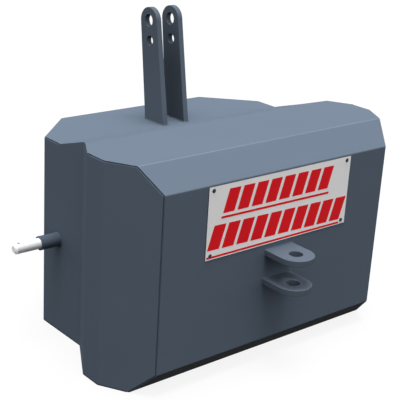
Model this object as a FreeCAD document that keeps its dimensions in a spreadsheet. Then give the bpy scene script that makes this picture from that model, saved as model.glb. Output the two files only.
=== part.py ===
# Front ballast weight for a tractor's three-point linkage, in millimetres.
# A box of folded steel plate is filled with concrete. It hangs on two lower-link pins and a
# leaning two-plate mast for the top link, and carries a tow clevis and a sign on its front face.
#
# Frame: origin on the base plane, midway between the lower-link pins and straight below their axis.
# +X runs along the pins, +Y points to the tractor, +Z is up. The front face looks along -Y.
import FreeCAD, Part
import math
import os
import Sketcher

Vector = FreeCAD.Vector
Placement = FreeCAD.Placement
Rotation = FreeCAD.Rotation

doc = FreeCAD.newDocument("TractorWeight")

# Driving dimensions
SIZES = [
    # plan of the box, seen from above
    ("front_reach", "559", "lower-link axis to the front face"),
    ("front_width", "965", "front face, corner to corner"),
    ("cheek_depth", "171", "front corner back to the full width"),
    ("wide_width", "1160", "full width of the box"),
    ("wide_side_length", "80.5", "straight side at full width"),
    ("shoulder_depth", "166", "full width back to the narrow part"),
    ("narrow_width", "965", "narrow part, between the tractor's lower links"),
    ("narrow_reach", "88.5", "lower-link axis back to the rear corner's start"),
    ("rear_corner_depth", "160.5", "rear corner, along the length"),
    ("rear_width", "630", "flat back"),
    # heights and depths of the folded top and front
    ("lower_chamfer_height", "80", "chamfer below the front face"),
    ("front_top_height", "667", "upper edge of the front face"),
    ("wide_top_height", "742", "flat top of the wide part"),
    ("narrow_top_height", "672.5", "flat top of the narrow part"),
    ("chamfer_depth", "78", "both front chamfers, along the length"),
    ("wide_top_depth", "258.5", "flat top of the wide part, along the length"),
    ("ramp_depth", "216", "ramp between the two tops, along the length"),
    # plate
    ("sheet_thickness", "4", "folded top and front sheet"),
    ("wall_thickness", "10", "side shells"),
    ("base_thickness", "10", "base plate"),
    ("sheet_ledge", "3", "side shell left showing beside the sheet's edge"),
    ("sheet_bend_radius", "8", "outside of the sheet's bends"),
    ("wall_bend_radius", "16", "outside of the side shells' bends"),
    ("slot_play", "0.6", "slot over the tail that passes through it"),
    ("edge_break", "1", "bevel on the edges of cut plates"),
    # lower-link pins
    ("pin_height", "338", "pin axis above the base"),
    ("pin_diameter", "36.6", "free end of the bright pin"),
    ("pin_shoulder", "2", "step down to the shank, seated on the collar's end"),
    ("pin_free_length", "96", "bright pin beyond its collar"),
    ("pin_nose_chamfer", "6.5", "nose that leads the pin into the link's ball"),
    ("pin_play", "0.4", "bores over the pin's shank"),
    ("linch_hole_diameter", "12", "cross hole for the linch pin"),
    ("linch_hole_inset", "18", "cross hole from the pin's end"),
    ("collar_diameter", "48", "collar outside"),
    ("collar_length", "72.5", "collar, from the wall to the link's ball"),
    ("socket_diameter", "60", "socket outside"),
    ("socket_length", "140", "socket inside the wall"),
    # top-link mast
    ("mast_height", "685", "pin axis up to the upper hole"),
    ("mast_lower_height", "616", "pin axis up to the lower hole"),
    ("mast_lean", "102.5", "upper hole towards the tractor from the pin axis"),
    ("mast_gap", "73", "between the plates"),
    ("mast_thickness", "20", "each plate"),
    ("mast_head_radius", "45.5", "round head"),
    ("mast_foot_depth", "106.5", "plate where it stands on the top"),
    ("mast_foot_gap", "2", "plate behind the ramp's lower bend"),
    ("mast_upper_diameter", "43", "upper hole"),
    ("mast_lower_diameter", "35", "lower hole"),
    ("mast_tail_depth", "70", "tail through the sheet"),
    ("mast_tail_length", "300", "tail below the top's face"),
    ("mast_bar_diameter", "24", "anchor bar through both tails"),
    ("mast_bar_length", "260", "anchor bar"),
    ("mast_bar_rise", "40", "anchor bar above the tails' ends"),
    # tow clevis
    ("tow_height", "344.5", "middle of the clevis gap"),
    ("tow_gap", "81", "between the ears"),
    ("tow_thickness", "20", "each ear"),
    ("tow_width", "122", "ear, with a half-round end"),
    ("tow_hole_reach", "79.5", "hole in front of the front face"),
    ("tow_hole_diameter", "46", "pin hole"),
    ("tow_tail_width", "80", "tail through the sheet"),
    ("tow_tail_length", "110", "tail behind the front face"),
    ("tow_bar_diameter", "20", "anchor bar through both tails"),
    ("tow_bar_length", "220", "anchor bar"),
    ("tow_bar_inset", "75", "anchor bar behind the front face"),
    ("bar_play", "0.6", "holes over the anchor bars"),
    # sign and its rivets
    ("sign_width", "617", "plate"),
    ("sign_height", "238", "plate"),
    ("sign_thickness", "2", "plate"),
    ("sign_drop", "4.5", "upper edge below the front face's edge"),
    ("sign_shift", "-5.5", "middle of the plate beside the middle of the face"),
    ("rivet_inset_across", "18", "rivet from the plate's end"),
    ("rivet_inset_down", "13", "rivet from the plate's long edges"),
    ("rivet_head_diameter", "14", "wide low head"),
    ("rivet_crown_diameter", "7", "flat top of the head"),
    ("rivet_head_height", "2.5", "head above the sign"),
    ("rivet_shank_diameter", "4.8", "shank"),
    ("rivet_play", "0.4", "holes over the shank"),
    ("rivet_end_gap", "0.5", "shank's end short of the sheet's inner face"),
    # construction
    ("trim_overrun", "40", "construction solids beyond what they trim"),
]

sheet = doc.addObject("Spreadsheet::Sheet", "Sizes")
for row, (alias, size, meaning) in enumerate(SIZES, start=1):
    sheet.set(f"A{row}", alias)
    sheet.set(f"B{row}", size)
    sheet.set(f"C{row}", meaning)
    sheet.setAlias(f"B{row}", alias)
doc.recompute()

# Places that several pieces share, as expressions in the sheet's values
FRONT_Y = "-Sizes.front_reach"
CHEEK_END_Y = f"({FRONT_Y} + Sizes.cheek_depth)"
SIDE_END_Y = f"({CHEEK_END_Y} + Sizes.wide_side_length)"
SHOULDER_END_Y = f"({SIDE_END_Y} + Sizes.shoulder_depth)"
REAR_Y = "(Sizes.narrow_reach + Sizes.rear_corner_depth)"
RIDGE_Y = f"({FRONT_Y} + Sizes.chamfer_depth)"
RAMP_START_Y = f"({RIDGE_Y} + Sizes.wide_top_depth)"
RAMP_FOOT_Y = f"({RAMP_START_Y} + Sizes.ramp_depth)"
NARROW_HALF = "Sizes.narrow_width / 2"
WALL_INSIDE = f"({NARROW_HALF} - Sizes.wall_thickness)"
CHEEK_SLOPE = "((Sizes.wide_width - Sizes.front_width) / 2 / Sizes.cheek_depth)"
HEAD_Z = "(Sizes.pin_height + Sizes.mast_height)"
LOWER_HOLE_Z = "(Sizes.pin_height + Sizes.mast_lower_height)"
MAST_FRONT_Y = f"({RAMP_FOOT_Y} + Sizes.mast_foot_gap)"
MAST_MIDDLE_Y = f"({MAST_FRONT_Y} + Sizes.mast_foot_depth / 2)"
TAIL_END_Z = "(Sizes.narrow_top_height - Sizes.mast_tail_length)"
MAST_BAR_Z = f"({TAIL_END_Z} + Sizes.mast_bar_rise)"
MAST_WIDTH = "(Sizes.mast_gap + 2 * Sizes.mast_thickness)"
TOW_BAR_Y = f"({FRONT_Y} + Sizes.tow_bar_inset)"
TOW_STACK = "(Sizes.tow_gap + 2 * Sizes.tow_thickness)"
SIGN_TOP_Z = "(Sizes.front_top_height - Sizes.sign_drop)"
SIGN_MIDDLE_Z = f"({SIGN_TOP_Z} - Sizes.sign_height / 2)"
RIVET_ACROSS = "(Sizes.sign_width / 2 - Sizes.rivet_inset_across)"
RIVET_DOWN = "(Sizes.sign_height / 2 - Sizes.rivet_inset_down)"
RIVET_HOLE = "(Sizes.rivet_shank_diameter + Sizes.rivet_play)"
PIN_SHANK = "(Sizes.pin_diameter - 2 * Sizes.pin_shoulder)"
PIN_BORE = f"({PIN_SHANK} + Sizes.pin_play)"


def number(expression):
    """The present value of an expression in the sheet's sizes."""
    return float(sheet.evalExpression(str(expression)))


def place(item, across="0", along="0", up="0", rotation=Rotation()):
    """Set an object's Placement and bind its three coordinates."""
    item.Placement = Placement(Vector(number(across), number(along), number(up)), rotation)
    item.setExpression("Placement.Base.x", across)
    item.setExpression("Placement.Base.y", along)
    item.setExpression("Placement.Base.z", up)
    return item


# Sketch helpers

def fix(sketch, kind, expression, *references):
    """Add a dimension to a sketch and bind it to an expression."""
    index = sketch.addConstraint(Sketcher.Constraint(kind, *references, number(expression)))
    sketch.setExpression(f"Constraints[{index}]", expression)


def fix_point(sketch, geometry, position, across, up):
    """Tie a point to the sketch's origin by both coordinates."""
    fix(sketch, "DistanceX", across, -1, 1, geometry, position)
    fix(sketch, "DistanceY", up, -1, 1, geometry, position)


def line(sketch, start, end):
    """Draw a line between two points given as expressions, and return its number."""
    first = Vector(number(start[0]), number(start[1]), 0)
    second = Vector(number(end[0]), number(end[1]), 0)
    return sketch.addGeometry(Part.LineSegment(first, second), False)


def join(sketch, first, second):
    """Join the end of one line to the start of the next."""
    sketch.addConstraint(Sketcher.Constraint("Coincident", first, 2, second, 1))


def outline(sketch, corners, bends=None):
    """Draw a closed polygon through corners, then round those that bends names."""
    count = len(corners)
    lines = [line(sketch, corners[i], corners[(i + 1) % count]) for i in range(count)]
    for i in range(count):
        join(sketch, lines[i], lines[(i + 1) % count])
    for i in range(count):
        fix_point(sketch, lines[i], 1, *corners[i])
    for corner, radius in (bends or {}).items():
        arc = sketch.GeometryCount
        sketch.fillet(lines[corner], 1, number(radius), True, True)
        fix(sketch, "Radius", radius, arc)


def circle(sketch, across, up, diameter):
    """Draw a circle with its centre and diameter bound."""
    centre = Vector(number(across), number(up), 0)
    ring = sketch.addGeometry(Part.Circle(centre, Vector(0, 0, 1), number(diameter) / 2), False)
    fix_point(sketch, ring, 3, across, up)
    fix(sketch, "Diameter", diameter, ring)


# Feature helpers

def new_body(label):
    """Start a body for one piece."""
    body = doc.addObject("PartDesign::Body", label)
    body.Label = label
    return body


def body_sketch(body, role, name):
    """Start a sketch on one of the body's own origin planes."""
    plane = next(item for item in body.Origin.OriginFeatures if item.Role == role)
    sketch = body.newObject("Sketcher::SketchObject", name)
    sketch.AttachmentSupport = (plane, [""])
    sketch.MapMode = "FlatFace"
    return sketch


def pad(body, sketch, length):
    """Pad a sketch along its normal."""
    feature = body.newObject("PartDesign::Pad", body.Label + "_pad")
    feature.Profile = sketch
    feature.Length = number(length)
    feature.setExpression("Length", length)
    sketch.Visibility = False
    doc.recompute()
    return feature


def revolve(body, sketch, axis):
    """Turn a half profile a full turn about one of its sketch's axes."""
    feature = body.newObject("PartDesign::Revolution", body.Label + "_turned")
    feature.Profile = sketch
    feature.ReferenceAxis = (sketch, [axis])
    feature.Angle = 360.0
    sketch.Visibility = False
    doc.recompute()
    return feature


def break_edges(body, base, edges):
    """Bevel some edges of the body's last feature, as a grinder leaves them."""
    bevel = body.newObject("PartDesign::Chamfer", body.Label + "_bevel")
    bevel.Base = (base, [f"Edge{index}" for index in edges])
    bevel.Size = number("Sizes.edge_break")
    bevel.setExpression("Size", "Sizes.edge_break")
    doc.recompute()


TOUCHING = 1e-6


def reach(shape, direction):
    """A shape's lowest and highest coordinates along X, Y or Z."""
    limits = shape.BoundBox
    return getattr(limits, direction + "Min"), getattr(limits, direction + "Max")


def rim_edges(shape, normal, keep):
    """Numbers of the outline's edges to keep, in the plate's two faces across normal."""
    levels = reach(shape, normal)
    found = []
    for index, edge in enumerate(shape.Edges, start=1):
        low, high = reach(edge, normal)
        in_a_face = high - low < TOUCHING and min(abs(low - level) for level in levels) < TOUCHING
        round_a_hole = edge.isClosed()
        if in_a_face and not round_a_hole and keep(edge):
            found.append(index)
    return found


def free_sketch(name, rotation=Rotation()):
    """A sketch outside the bodies, for the construction solids."""
    sketch = doc.addObject("Sketcher::SketchObject", name)
    sketch.Placement = Placement(Vector(0, 0, 0), rotation)
    return sketch


def inset(source, name, distance):
    """The same outline moved inwards."""
    offset = doc.addObject("Part::Offset2D", name)
    offset.Source = source
    offset.Join = "Intersection"
    offset.Value = -number(distance)
    offset.setExpression("Value", f"-{distance}")
    return offset


def extrude(source, name, direction, length, symmetric=False):
    """A solid from a closed outline."""
    solid = doc.addObject("Part::Extrusion", name)
    solid.Base = source
    solid.DirMode = "Custom"
    solid.Dir = direction
    solid.LengthFwd = number(length)
    solid.setExpression("LengthFwd", length)
    solid.Symmetric = symmetric
    solid.Solid = True
    return solid


def box(name, size, low):
    """A block from its three sizes and its lowest corner."""
    block = doc.addObject("Part::Box", name)
    for side, expression in zip(("Length", "Width", "Height"), size):
        block.setExpression(side, expression)
    return place(block, *low)


def rod(name, diameter, length, low, rotation=Rotation()):
    """A cylinder from its diameter, length and the middle of its first end."""
    bar = doc.addObject("Part::Cylinder", name)
    bar.setExpression("Radius", f"{diameter} / 2")
    bar.setExpression("Height", length)
    return place(bar, *low, rotation)


def common(name, first, second):
    """What two solids share."""
    result = doc.addObject("Part::Common", name)
    result.Base = first
    result.Tool = second
    return result


def cut(name, base, tools):
    """A solid less one or more others."""
    result = base
    for step, tool in enumerate(tools, start=1):
        last = step == len(tools)
        trimmed = doc.addObject("Part::Cut", name if last else f"{name}_cut{step}")
        trimmed.Base = result
        trimmed.Tool = tool
        result = trimmed
    return result


ALONG_X = Rotation(Vector(0, 1, 0), 90)
ALONG_Y = Rotation(Vector(1, 0, 0), -90)
HALF_TURN = Rotation(Vector(0, 0, 1), 180)
FACING_X = Rotation(Vector(1, 1, 1), 120)
OVERALL_HEIGHT = "(Sizes.wide_top_height + Sizes.trim_overrun)"
OVERALL_WIDTH = "(Sizes.wide_width + 2 * Sizes.trim_overrun)"

# Plan of the box
# The cheeks run on past the front face, so that the front sheet alone ends the box there.
plan_front_y = f"({FRONT_Y} - Sizes.trim_overrun)"
plan_front_x = f"(Sizes.front_width / 2 - Sizes.trim_overrun * {CHEEK_SLOPE})"
half_plan = [
    (plan_front_x, plan_front_y),
    ("(Sizes.wide_width / 2)", CHEEK_END_Y),
    ("(Sizes.wide_width / 2)", SIDE_END_Y),
    (f"({NARROW_HALF})", SHOULDER_END_Y),
    (f"({NARROW_HALF})", "Sizes.narrow_reach"),
    ("(Sizes.rear_width / 2)", REAR_Y),
]
other_half = [(f"-{across}", along) for across, along in reversed(half_plan)]
corner_count = len(half_plan)
WAIST = 3
OUTSIDE_BEND = "Sizes.wall_bend_radius"
WAIST_BEND = "(Sizes.wall_bend_radius - Sizes.wall_thickness)"
plan_bends = {}
for corner in range(1, corner_count):
    radius = WAIST_BEND if corner == WAIST else OUTSIDE_BEND
    plan_bends[corner] = radius
    plan_bends[2 * corner_count - 1 - corner] = radius

plan = free_sketch("plan_outline")
outline(plan, half_plan + other_half, plan_bends)
doc.recompute()
plan_ledge = inset(plan, "plan_inside_ledge", "Sizes.sheet_ledge")
plan_cavity = inset(plan, "plan_inside_walls", "Sizes.wall_thickness")

UP = Vector(0, 0, 1)
outer_block = extrude(plan, "outer_block", UP, OVERALL_HEIGHT)
ledge_block = extrude(plan_ledge, "ledge_block", UP, OVERALL_HEIGHT)
cavity_block = extrude(plan_cavity, "cavity_block", UP, OVERALL_HEIGHT)

# Side view of the folded sheet
# Below the base and behind the back the outline runs on, where the plan's solids end the box.
below = "-Sizes.trim_overrun"
chamfer_run_on = "(Sizes.trim_overrun * Sizes.chamfer_depth / Sizes.lower_chamfer_height)"
profile_corners = [
    (f"({RIDGE_Y} + {chamfer_run_on})", below),
    (f"({REAR_Y} + Sizes.trim_overrun)", below),
    (f"({REAR_Y} + Sizes.trim_overrun)", "Sizes.narrow_top_height"),
    (RAMP_FOOT_Y, "Sizes.narrow_top_height"),
    (RAMP_START_Y, "Sizes.wide_top_height"),
    (RIDGE_Y, "Sizes.wide_top_height"),
    (FRONT_Y, "Sizes.front_top_height"),
    (FRONT_Y, "Sizes.lower_chamfer_height"),
]
SHEET_BEND = "Sizes.sheet_bend_radius"
profile_bends = {
    3: "(Sizes.sheet_bend_radius - Sizes.sheet_thickness)",
    4: SHEET_BEND,
    5: SHEET_BEND,
    6: SHEET_BEND,
    7: SHEET_BEND,
}
profile = free_sketch("sheet_profile", FACING_X)
outline(profile, profile_corners, profile_bends)
doc.recompute()
profile_inside = inset(profile, "profile_under_sheet", "Sizes.sheet_thickness")

ACROSS = Vector(1, 0, 0)
sheet_block = extrude(profile, "sheet_block", ACROSS, OVERALL_WIDTH, True)
under_sheet = extrude(profile_inside, "under_sheet_block", ACROSS, OVERALL_WIDTH, True)
doc.recompute()

# Lower-link pins, collars and sockets
# The pin's shoulder seats on the collar, and its thinner shank runs through the collar and the side
# shell into the socket cast into the concrete.
pin_seat = f"({NARROW_HALF} + Sizes.collar_length)"
pin_inner_end = f"({WALL_INSIDE} - Sizes.socket_length)"
pin_outer_end = f"({pin_seat} + Sizes.pin_free_length)"
linch_hole_x = f"({pin_outer_end} - Sizes.linch_hole_inset)"
SIDES = {"left": HALF_TURN, "right": Rotation()}


def make_pin(label, rotation):
    """Bright stepped pin with a chamfered nose and an upright linch-pin hole."""
    body = new_body(label)
    half = body_sketch(body, "XY_Plane", label + "_half")
    free = "(Sizes.pin_diameter / 2)"
    shank = f"({PIN_SHANK} / 2)"
    outline(half, [
        (pin_inner_end, "0"),
        (pin_outer_end, "0"),
        (pin_outer_end, f"({free} - Sizes.pin_nose_chamfer)"),
        (f"({pin_outer_end} - Sizes.pin_nose_chamfer)", free),
        (pin_seat, free),
        (pin_seat, shank),
        (pin_inner_end, shank),
    ])
    turned = revolve(body, half, "H_Axis")
    hole = body_sketch(body, "XY_Plane", label + "_linch_hole")
    circle(hole, linch_hole_x, "0", "Sizes.linch_hole_diameter")
    drilled = body.newObject("PartDesign::Pocket", label + "_drilled")
    drilled.Profile = hole
    drilled.Type = "ThroughAll"
    drilled.Midplane = True
    hole.Visibility = False
    doc.recompute()
    if drilled.Shape.Volume >= turned.Shape.Volume:
        raise RuntimeError(f"{label}: the linch-pin hole cut nothing")
    return place(body, up="Sizes.pin_height", rotation=rotation)


def make_tube(label, start, length, diameter, rotation):
    """Plain tube round the pin's shank, starting at a distance from the middle."""
    body = new_body(label)
    ring = body_sketch(body, "YZ_Plane", label + "_ring")
    ring.AttachmentOffset = Placement(Vector(0, 0, number(start)), Rotation())
    ring.setExpression("AttachmentOffset.Base.z", start)
    circle(ring, "0", "0", diameter)
    circle(ring, "0", "0", PIN_BORE)
    pad(body, ring, length)
    return place(body, up="Sizes.pin_height", rotation=rotation)


pieces = []
for side, turn in SIDES.items():
    pieces.append(make_pin(f"lower_pin_{side}", turn))
    pieces.append(make_tube(f"pin_collar_{side}", f"({NARROW_HALF})", "Sizes.collar_length",
                            "Sizes.collar_diameter", turn))
    pieces.append(make_tube(f"pin_socket_{side}", pin_inner_end, "Sizes.socket_length",
                            "Sizes.socket_diameter", turn))

socket_space = rod("socket_space", "Sizes.socket_diameter", "Sizes.socket_length",
                   (pin_inner_end, "0", "Sizes.pin_height"), ALONG_X)
socket_space_left = rod("socket_space_left", "Sizes.socket_diameter", "Sizes.socket_length",
                        (f"-{WALL_INSIDE}", "0", "Sizes.pin_height"), ALONG_X)
wall_bore = rod("wall_bore", PIN_BORE, OVERALL_WIDTH,
                (f"-{OVERALL_WIDTH} / 2", "0", "Sizes.pin_height"), ALONG_X)

# Top-link mast
# Each plate stands on the narrow top with its shoulders, and its tail runs through a slot in the
# sheet down into the concrete, where one bar ties both tails.


def make_mast_plate(label, start):
    """Leaning tapered plate with a round head, two link holes and a tail with the bar's hole."""
    body = new_body(label)
    face = body_sketch(body, "YZ_Plane", label + "_face")
    top = "Sizes.narrow_top_height"
    foot_front = (MAST_FRONT_Y, top)
    foot_back = (f"({MAST_FRONT_Y} + Sizes.mast_foot_depth)", top)
    tail_front = (f"({MAST_MIDDLE_Y} - Sizes.mast_tail_depth / 2)", top)
    tail_back = (f"({MAST_MIDDLE_Y} + Sizes.mast_tail_depth / 2)", top)
    end_front = (tail_front[0], TAIL_END_Z)
    end_back = (tail_back[0], TAIL_END_Z)
    head_front = ("(Sizes.mast_lean - Sizes.mast_head_radius)", HEAD_Z)
    head_back = ("(Sizes.mast_lean + Sizes.mast_head_radius)", HEAD_Z)
    straight = [
        line(face, head_front, foot_front),
        line(face, foot_front, tail_front),
        line(face, tail_front, end_front),
        line(face, end_front, end_back),
        line(face, end_back, tail_back),
        line(face, tail_back, foot_back),
        line(face, foot_back, head_back),
    ]
    for first, second in zip(straight, straight[1:]):
        join(face, first, second)
    places = [foot_front, tail_front, end_front, end_back, tail_back, foot_back]
    for index, spot in zip(straight[1:], places):
        fix_point(face, index, 1, *spot)
    centre = Vector(number("Sizes.mast_lean"), number(HEAD_Z), 0)
    round_head = Part.Circle(centre, Vector(0, 0, 1), number("Sizes.mast_head_radius"))
    head = face.addGeometry(Part.ArcOfCircle(round_head, 0, math.pi), False)
    fix_point(face, head, 3, "Sizes.mast_lean", HEAD_Z)
    fix(face, "Radius", "Sizes.mast_head_radius", head)
    face.addConstraint(Sketcher.Constraint("Tangent", straight[-1], 2, head, 1))
    face.addConstraint(Sketcher.Constraint("Tangent", head, 2, straight[0], 1))
    circle(face, "Sizes.mast_lean", HEAD_Z, "Sizes.mast_upper_diameter")
    rise = f"(({LOWER_HOLE_Z} - {top}) / ({HEAD_Z} - {top}))"
    lower_y = f"({MAST_MIDDLE_Y} + (Sizes.mast_lean - {MAST_MIDDLE_Y}) * {rise})"
    circle(face, lower_y, LOWER_HOLE_Z, "Sizes.mast_lower_diameter")
    circle(face, MAST_MIDDLE_Y, MAST_BAR_Z, "(Sizes.mast_bar_diameter + Sizes.bar_play)")
    plate = pad(body, face, "Sizes.mast_thickness")
    above_foot = number(top) + number("Sizes.edge_break")

    def exposed(edge):
        """Whether the edge shows above the top sheet."""
        return reach(edge, "Z")[1] > above_foot

    break_edges(body, plate, rim_edges(plate.Shape, "X", exposed))
    return place(body, across=start)


mast_left_x = "(-Sizes.mast_gap / 2 - Sizes.mast_thickness)"
mast_right_x = "(Sizes.mast_gap / 2)"
mast_left = make_mast_plate("mast_plate_left", mast_left_x)
mast_right = make_mast_plate("mast_plate_right", mast_right_x)
mast_bar = rod("mast_anchor_bar", "Sizes.mast_bar_diameter", "Sizes.mast_bar_length",
               ("-Sizes.mast_bar_length / 2", MAST_MIDDLE_Y, MAST_BAR_Z), ALONG_X)
mast_bar_space = rod("mast_bar_space", "(Sizes.mast_bar_diameter + Sizes.bar_play)", MAST_WIDTH,
                     (f"-{MAST_WIDTH} / 2", MAST_MIDDLE_Y, MAST_BAR_Z), ALONG_X)
pieces += [mast_left, mast_right, mast_bar]


def mast_slot(name, start):
    """The slot that a mast plate's tail passes through."""
    size = (
        "(Sizes.mast_thickness + Sizes.slot_play)",
        "(Sizes.mast_tail_depth + Sizes.slot_play)",
        "(Sizes.sheet_thickness + 2 * Sizes.trim_overrun)",
    )
    low = (
        f"({start} - Sizes.slot_play / 2)",
        f"({MAST_MIDDLE_Y} - (Sizes.mast_tail_depth + Sizes.slot_play) / 2)",
        "(Sizes.narrow_top_height - Sizes.sheet_thickness - Sizes.trim_overrun)",
    )
    return box(name, size, low)


# Tow clevis
# Two level ears, one above the other. Their tails pass through slots in the front sheet into the
# concrete, where an upright bar ties them.


def make_tow_ear(label, level):
    """Level ear with a half-round end, a pin hole and a tail with the bar's hole."""
    body = new_body(label)
    face = body_sketch(body, "XY_Plane", label + "_face")
    half = "(Sizes.tow_width / 2)"
    tail = "(Sizes.tow_tail_width / 2)"
    end_y = f"({FRONT_Y} - Sizes.tow_hole_reach)"
    tail_y = f"({FRONT_Y} + Sizes.tow_tail_length)"
    corners = [
        (half, end_y),
        (half, FRONT_Y),
        (tail, FRONT_Y),
        (tail, tail_y),
        (f"-{tail}", tail_y),
        (f"-{tail}", FRONT_Y),
        (f"-{half}", FRONT_Y),
        (f"-{half}", end_y),
    ]
    straight = [line(face, first, second) for first, second in zip(corners, corners[1:])]
    for first, second in zip(straight, straight[1:]):
        join(face, first, second)
    for index, corner in zip(straight[1:], corners[1:]):
        fix_point(face, index, 1, *corner)
    centre = Vector(0, number(end_y), 0)
    round_end = Part.Circle(centre, Vector(0, 0, 1), number(half))
    end = face.addGeometry(Part.ArcOfCircle(round_end, math.pi, 2 * math.pi), False)
    fix_point(face, end, 3, "0", end_y)
    fix(face, "Radius", half, end)
    face.addConstraint(Sketcher.Constraint("Tangent", straight[-1], 2, end, 1))
    face.addConstraint(Sketcher.Constraint("Tangent", end, 2, straight[0], 1))
    circle(face, "0", end_y, "Sizes.tow_hole_diameter")
    circle(face, "0", TOW_BAR_Y, "(Sizes.tow_bar_diameter + Sizes.bar_play)")
    plate = pad(body, face, "Sizes.tow_thickness")
    ahead_of_face = number(FRONT_Y) - number("Sizes.edge_break")

    def exposed(edge):
        """Whether the edge shows ahead of the front sheet."""
        return reach(edge, "Y")[0] < ahead_of_face

    break_edges(body, plate, rim_edges(plate.Shape, "Z", exposed))
    return place(body, up=level)


tow_upper_z = "(Sizes.tow_height + Sizes.tow_gap / 2)"
tow_lower_z = "(Sizes.tow_height - Sizes.tow_gap / 2 - Sizes.tow_thickness)"
tow_upper = make_tow_ear("tow_ear_upper", tow_upper_z)
tow_lower = make_tow_ear("tow_ear_lower", tow_lower_z)
tow_bar = rod("tow_anchor_bar", "Sizes.tow_bar_diameter", "Sizes.tow_bar_length",
              ("0", TOW_BAR_Y, "(Sizes.tow_height - Sizes.tow_bar_length / 2)"))
tow_bar_space = rod("tow_bar_space", "(Sizes.tow_bar_diameter + Sizes.bar_play)", TOW_STACK,
                    ("0", TOW_BAR_Y, f"(Sizes.tow_height - {TOW_STACK} / 2)"))
pieces += [tow_upper, tow_lower, tow_bar]


def tow_slot(name, level):
    """The slot that an ear's tail passes through."""
    size = (
        "(Sizes.tow_tail_width + Sizes.slot_play)",
        "(Sizes.sheet_thickness + 2 * Sizes.trim_overrun)",
        "(Sizes.tow_thickness + Sizes.slot_play)",
    )
    low = (
        "(-(Sizes.tow_tail_width + Sizes.slot_play) / 2)",
        f"({FRONT_Y} - Sizes.trim_overrun)",
        f"({level} - Sizes.slot_play / 2)",
    )
    return box(name, size, low)


# Sign and rivets
# A plain rectangular plate on the front face, held by four rivets with wide low heads.
rivet_spots = []
for down in (f"-{RIVET_DOWN}", RIVET_DOWN):
    for across in (f"-{RIVET_ACROSS}", RIVET_ACROSS):
        rivet_spots.append((across, down))


def make_sign_plate(label):
    """Thin plate with four rivet holes."""
    body = new_body(label)
    face = body_sketch(body, "XZ_Plane", label + "_face")
    across = "(Sizes.sign_width / 2)"
    down = "(Sizes.sign_height / 2)"
    corners = [(f"-{across}", f"-{down}"), (across, f"-{down}"), (across, down), (f"-{across}", down)]
    outline(face, corners)
    for spot in rivet_spots:
        circle(face, *spot, RIVET_HOLE)
    pad(body, face, "Sizes.sign_thickness")
    return place(body, "Sizes.sign_shift", FRONT_Y, SIGN_MIDDLE_Z)


def make_rivet(label, across, down):
    """Rivet: its low wide head lies on the sign and its shank ends inside the sheet."""
    body = new_body(label)
    half = body_sketch(body, "XY_Plane", label + "_half")
    shank = "(Sizes.rivet_shank_diameter / 2)"
    head = "(Sizes.rivet_head_diameter / 2)"
    crown = "(Sizes.rivet_crown_diameter / 2)"
    shank_end = "(Sizes.sign_thickness + Sizes.sheet_thickness - Sizes.rivet_end_gap)"
    top = "-Sizes.rivet_head_height"
    outline(half, [
        ("0", top),
        ("0", shank_end),
        (shank, shank_end),
        (shank, "0"),
        (head, "0"),
        (crown, top),
    ])
    revolve(body, half, "V_Axis")
    return place(body, f"(Sizes.sign_shift + {across})", f"({FRONT_Y} - Sizes.sign_thickness)",
                 f"({SIGN_MIDDLE_Z} + {down})")


sign = make_sign_plate("sign_plate")
rivets = [make_rivet(f"sign_rivet_{index}", *spot) for index, spot in enumerate(rivet_spots, start=1)]
rivet_set = doc.addObject("Part::Compound", "sign_rivets")
rivet_set.Links = rivets
rivet_holes = [
    rod(f"rivet_hole_{index}", RIVET_HOLE, "(Sizes.sheet_thickness + 2 * Sizes.trim_overrun)",
        (f"(Sizes.sign_shift + {across})", f"({FRONT_Y} - Sizes.trim_overrun)",
         f"({SIGN_MIDDLE_Z} + {down})"), ALONG_Y)
    for index, (across, down) in enumerate(rivet_spots, start=1)
]
pieces += [sign, rivet_set]

# Folded top and front sheet
# Its edge lies inside the side shells' outer face by the ledge, so that each side shows an open
# corner joint. From the shoulder to the foot of the ramp it comes out flush instead.
flush_size = (OVERALL_WIDTH, f"({RAMP_FOOT_Y} - {SIDE_END_Y})", OVERALL_HEIGHT)
flush_low = (f"-{OVERALL_WIDTH} / 2", SIDE_END_Y, "0")
flush_part = common("sheet_flush_part", outer_block, box("flush_zone", flush_size, flush_low))
sheet_plan = doc.addObject("Part::Fuse", "sheet_plan")
sheet_plan.Base = ledge_block
sheet_plan.Tool = flush_part
bent_sheet = cut("bent_sheet", common("sheet_outside", sheet_plan, sheet_block), [under_sheet])
slots = [
    mast_slot("mast_slot_left", mast_left_x),
    mast_slot("mast_slot_right", mast_right_x),
    tow_slot("tow_slot_upper", tow_upper_z),
    tow_slot("tow_slot_lower", tow_lower_z),
]
pieces.append(cut("top_front_sheet", bent_sheet, slots + rivet_holes))

# Side shells
# One folded plate for each side, from the front corner round to the middle of the back, where the
# two are welded together. They stand on the ground and carry the sheet on their upper edges.
ring = cut("wall_ring", outer_block, [cavity_block])
walls = common("walls", ring, under_sheet)
half_size = (f"{OVERALL_WIDTH} / 2", f"(Sizes.front_reach + {REAR_Y} + 2 * Sizes.trim_overrun)",
             OVERALL_HEIGHT)
half_low_y = f"({FRONT_Y} - Sizes.trim_overrun)"
for side, low_x in (("left", f"-{OVERALL_WIDTH} / 2"), ("right", "0")):
    half_space = box(f"half_space_{side}", half_size, (low_x, half_low_y, "0"))
    half_walls = common(f"walls_{side}", walls, half_space)
    pieces.append(cut(f"side_shell_{side}", half_walls, [wall_bore]))

# Base plate and concrete
# The base plate lies between the shells, flush with their lower edges. The concrete fills the rest
# and is cast round the tails, bars and sockets.
base_blank = extrude(plan_cavity, "base_blank", UP, "Sizes.base_thickness")
base = common("base_plate", base_blank, under_sheet)
filling = common("filling", cavity_block, under_sheet)
core = cut("ballast_core", filling, [
    base_blank, mast_left, mast_right, mast_bar, mast_bar_space,
    tow_upper, tow_lower, tow_bar, tow_bar_space, socket_space, socket_space_left,
])
pieces += [base, core]
doc.recompute()

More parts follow.
